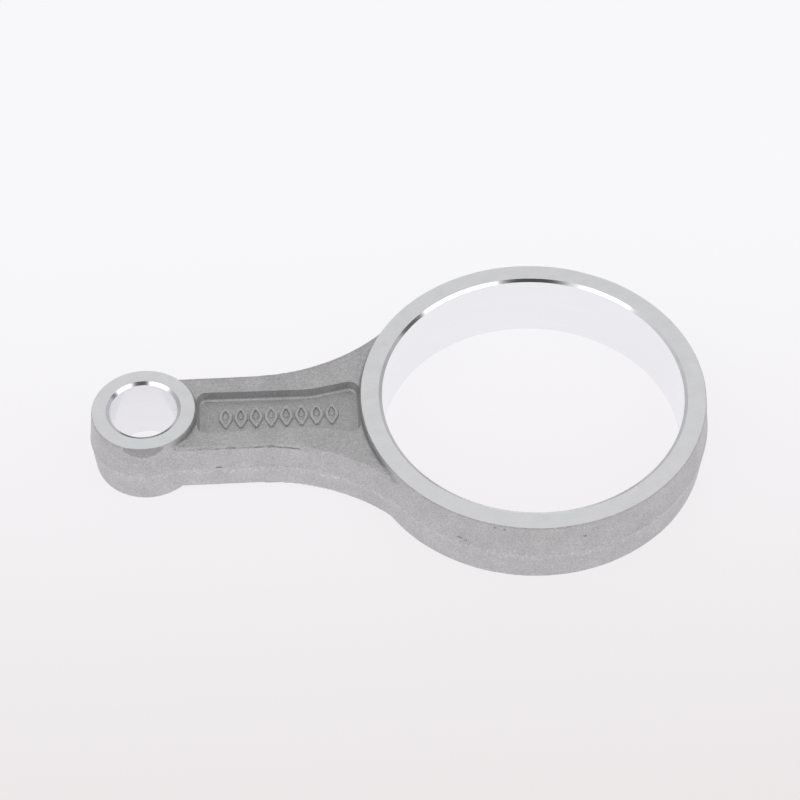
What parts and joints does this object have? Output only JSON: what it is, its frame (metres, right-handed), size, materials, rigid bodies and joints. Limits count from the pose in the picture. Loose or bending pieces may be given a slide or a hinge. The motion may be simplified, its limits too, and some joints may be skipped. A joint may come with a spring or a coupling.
{
  "type": "connecting rod",
  "caption": "One-piece forged aluminium connecting rod: a wide plain ring for an eccentric shaft, a flared shank with a shallow pocket on each side, and a small eye for a wrist pin.",
  "frame": {"origin": "centre of the rod's footprint, on the lower machined faces, with the rod lying on its side", "axes": "+X along the rod from the small eye to the large ring, +Z square to the machined faces and along both bores, +Y across the rod"},
  "size_m": [0.1596, 0.0906, 0.0194],
  "materials": {
    "forged_aluminium": "shot-blasted forging, matt grey, with fine-machined pale end faces and bright bored holes"
  },
  "bodies": {
    "root": {"connecting_rod": "forged_aluminium"}
  },
  "joints": []
}
